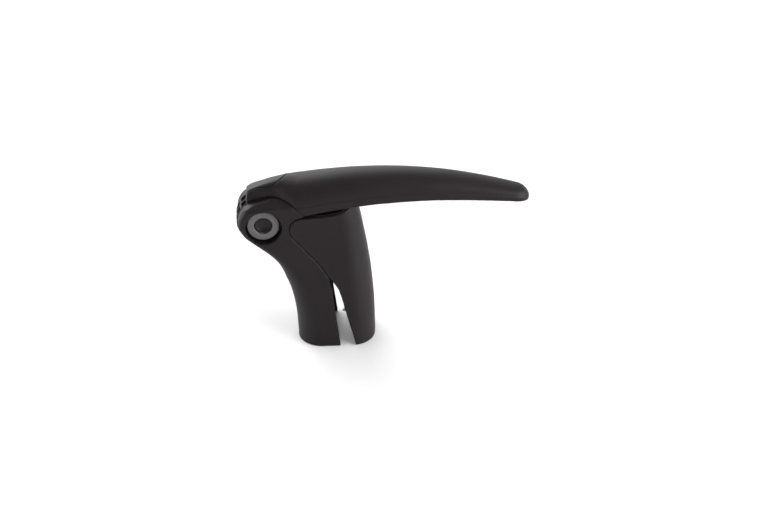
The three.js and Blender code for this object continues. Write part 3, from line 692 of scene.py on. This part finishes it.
def steel(name, tint=(0.56, 0.56, 0.57)):
    m, nt, b = tree(name)
    c = coords(nt)
    st = node(nt, "ShaderNodeMapping")
    st.inputs["Scale"].default_value = (1.0, 14.0, 1.0)
    link(nt, c, st.inputs["Vector"])
    n1 = node(nt, "ShaderNodeTexNoise", Scale=700.0, Detail=4.0)
    link(nt, st.outputs["Vector"], n1.inputs["Vector"])
    link(nt, ramp(nt, n1.outputs["Fac"], [(0.3, tuple(v * 0.86 for v in tint)), (0.7, tint)]), b.inputs["Base Color"])
    rr = node(nt, "ShaderNodeMapRange")
    rr.inputs["To Min"].default_value, rr.inputs["To Max"].default_value = 0.2, 0.36
    link(nt, n1.outputs["Fac"], rr.inputs["Value"])
    link(nt, rr.outputs["Result"], b.inputs["Roughness"])
    bump = node(nt, "ShaderNodeBump", Strength=0.06, Distance=0.0001)
    link(nt, n1.outputs["Fac"], bump.inputs["Height"])
    link(nt, bump.outputs["Normal"], b.inputs["Normal"])
    b.inputs["Metallic"].default_value = 1.0
    return m


SOFT = moulded_plastic("soft_touch_black", (0.0078, 0.0054, 0.0060), (0.0068, 0.0047, 0.0052), rough=(0.44, 0.52), grain=0.22, spec=0.17)
CORE = moulded_plastic("moulded_core_black", (0.0086, 0.0069, 0.0074), (0.0074, 0.0060, 0.0064), rough=(0.40, 0.48), grain=0.14, spec=0.17)
CAPM = moulded_plastic("semi_gloss_black", (0.009, 0.0068, 0.0072), (0.007, 0.0054, 0.0057), rough=(0.26, 0.32), grain=0.05, spec=0.17)
RUB = rubber("grip_rubber")
RING = satin_ring("satin_grey_ring")
STEEL = steel("bright_steel")


def dress(obj, mat):
    obj.data.materials.clear()
    obj.data.materials.append(mat)


# ------------------------------------------------------------------- assembly
def put(obj, body, cad, mat):
    dress(obj, mat)
    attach(obj, body)
    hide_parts(*cad)
    return obj


put(rear_body(), "frame", ["rear_body"], SOFT)
put(front_jaw(), "jaw", ["front_jaw"], SOFT)
put(lever_cover(), "lever", ["lever_cover"], SOFT)
put(pivot_ring("pivot_ring_near_turned", True), "frame", ["pivot_ring_near"], RING)
put(pivot_ring("pivot_ring_far_turned", False), "frame", ["pivot_ring_far"], RING)
put(pin_cap("pin_cap_near_dished", True), "frame", ["pin_cap_near"], CAPM)
put(pin_cap("pin_cap_far_dished", False), "frame", ["pin_cap_far"], CAPM)
_rl, _fu, _fl = liners()
put(_rl, "frame", ["rear_grip_liner"], RUB)
put(_fu, "jaw", ["front_grip_liner_upper"], RUB)
put(_fl, "jaw", ["front_grip_liner_lower"], RUB)

# the core's hub, neck and tongue are remade; its spine inside the cover is the same piece
_core = lever_core()
dress(_core, CORE)
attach(_core, "lever")
_spine_box = Grid((-14.0, -5.0, 84.0), (81.0, 5.0, 99.5), FINE * 1.2)
_top = [(x, float(CROWN(x)) - 3.4) for x in np.arange(-13.5, 80.1, 3.0)]
_low = [(x, float(max(BOTTOM(x) + 2.3, 86.5))) for x in np.arange(-13.5, 80.1, 3.0)]
_F = rmax(_spine_box.side(_top + _low[::-1]), np.abs(_spine_box.y) - 3.4, 0.5)
_F = rmax(_F, -np.maximum(_spine_box.side([(x, z - 1.6) for x, z in _top] + [(x, z + 1.6) for x, z in _low[::-1]]),
                          1.0 - np.abs(_spine_box.y)), 0.4)
_spine = solid_piece("lever_core_spine", _spine_box, _F)
dress(_spine, CORE)
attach(_spine, "lever")
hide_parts("lever_core")

for n in ("lever_pivot_pin", "jaw_hinge_pin", "jaw_return_spring", "spring_washer", "front_tooth_plate", "hub_bush_near",
          "hub_bush_far", "lever_screw_1", "lever_screw_2", "lever_screw_3"):
    dress(NODES[n], STEEL)
dress(NODES["lever_base_panel"], CORE)

# ------------------------------------------------------------- floor and light
FLOOR = bpy.data.materials.new("pale_floor")
FLOOR.use_nodes = True
_nt = FLOOR.node_tree
_b = next(n for n in _nt.nodes if n.type == "BSDF_PRINCIPLED")
_n = node(_nt, "ShaderNodeTexNoise", Scale=3.0, Detail=2.0)
link(_nt, coords(_nt), _n.inputs["Vector"])
link(_nt, ramp(_nt, _n.outputs["Fac"], [(0.2, (0.58, 0.58, 0.58)), (0.8, (0.60, 0.60, 0.60))]), _b.inputs["Base Color"])
_b.inputs["Roughness"].default_value = 0.6
_b.inputs["Specular IOR Level"].default_value = 0.2


def backdrop():
    """A plain pale floor."""
    bm = bmesh.new()
    c = [bm.verts.new((x, y, -0.0002)) for x, y in ((-3, -3), (3, -3), (3, 5), (-3, 5))]
    bm.faces.new(c)
    me = bpy.data.meshes.new("floor")
    bm.to_mesh(me)
    bm.free()
    o = bpy.data.objects.new("floor", me)
    bpy.context.scene.collection.objects.link(o)
    dress(o, FLOOR)
    return o


backdrop()

world = bpy.data.worlds.new("studio")
bpy.context.scene.world = world
world.use_nodes = True
_wt = world.node_tree
_bg = _wt.nodes["Background"]
_dir = _wt.nodes.new("ShaderNodeTexCoord")


def wmath(op, a, b):
    n = node(_wt, "ShaderNodeMath", operation=op)
    for k, v in enumerate((a, b)):
        if isinstance(v, (int, float)):
            n.inputs[k].default_value = v
        else:
            _wt.links.new(v, n.inputs[k])
    return n.outputs["Value"]


# an even dome, with soft boxes to the right, to the left, behind, and high behind the left shoulder
_sum = 0.22
for _aim, _tight, _amount in (((0.92, -0.34, 0.28), 7.0, 9.0), ((-1.0, -0.12, 0.15), 5.0, 1.6),
                              ((-0.38, 0.74, 0.56), 8.0, 6.3), ((0.0, 1.0, 0.3), 2.0, 0.5)):
    _dot = node(_wt, "ShaderNodeVectorMath", operation="DOT_PRODUCT")
    _dot.inputs[1].default_value = Vector(_aim).normalized()
    _wt.links.new(_dir.outputs["Generated"], _dot.inputs[0])
    _lobe = wmath("POWER", wmath("MAXIMUM", _dot.outputs["Value"], 0.0), _tight)
    _sum = wmath("ADD", wmath("MULTIPLY", _lobe, _amount), _sum)
_wt.links.new(_sum, _bg.inputs["Strength"])
_bg.inputs["Color"].default_value = (1.0, 1.0, 1.0, 1.0)


def area(name, loc, target, size, power, color=(1, 1, 1), size_y=None):
    d = bpy.data.lights.new(name, "AREA")
    d.energy = power
    d.size = size
    d.color = color
    if size_y:
        d.shape = "RECTANGLE"
        d.size_y = size_y
    o = bpy.data.objects.new(name, d)
    bpy.context.scene.collection.objects.link(o)
    o.location = loc
    o.rotation_euler = (Vector(target) - Vector(loc)).to_track_quat("-Z", "Y").to_euler()
    return o


# a fill from the camera's side for the floor, and soft boxes low to the left and right
sun = bpy.data.lights.new("floor_fill", "SUN")
sun.energy = 1.15
sun.angle = math.radians(12)
sun_obj = bpy.data.objects.new("floor_fill", sun)
bpy.context.scene.collection.objects.link(sun_obj)
sun_obj.rotation_euler = Vector((-0.052, -0.846, 0.530)).to_track_quat("Z", "Y").to_euler()
sun_obj.visible_glossy = False
area("left_box", (-0.75, 0.02, 0.16), (-0.03, 0.0, 0.07), 0.26, 2.6)
area("right_box", (0.55, -0.50, 0.22), (0.0, 0.0, 0.05), 0.40, 2.2)

# --------------------------------------------------------------------- camera
AZ, EL = math.radians(-3.5), math.radians(32.0)
DIST, S = 1.400, 1.764
T = (0.02724490168, 0.02015389121, 0.03485458445)
back = Vector((math.sin(AZ) * math.cos(EL), -math.cos(AZ) * math.cos(EL), math.sin(EL)))
cam = bpy.data.cameras.new("camera")
cam.sensor_fit = "HORIZONTAL"
cam.sensor_width = 36.0
cam.lens = S * DIST * 1000 * 36.0 / 765.0
cam.clip_end = 20.0
cam_obj = bpy.data.objects.new("camera", cam)
bpy.context.scene.collection.objects.link(cam_obj)
cam_obj.location = Vector((T[0] + SX / 1000, T[1], T[2])) + back * DIST
cam_obj.rotation_euler = back.to_track_quat("Z", "Y").to_euler()
bpy.context.scene.camera = cam_obj
bpy.context.scene.view_settings.view_transform = "Standard"
bpy.context.scene.view_settings.look = "None"
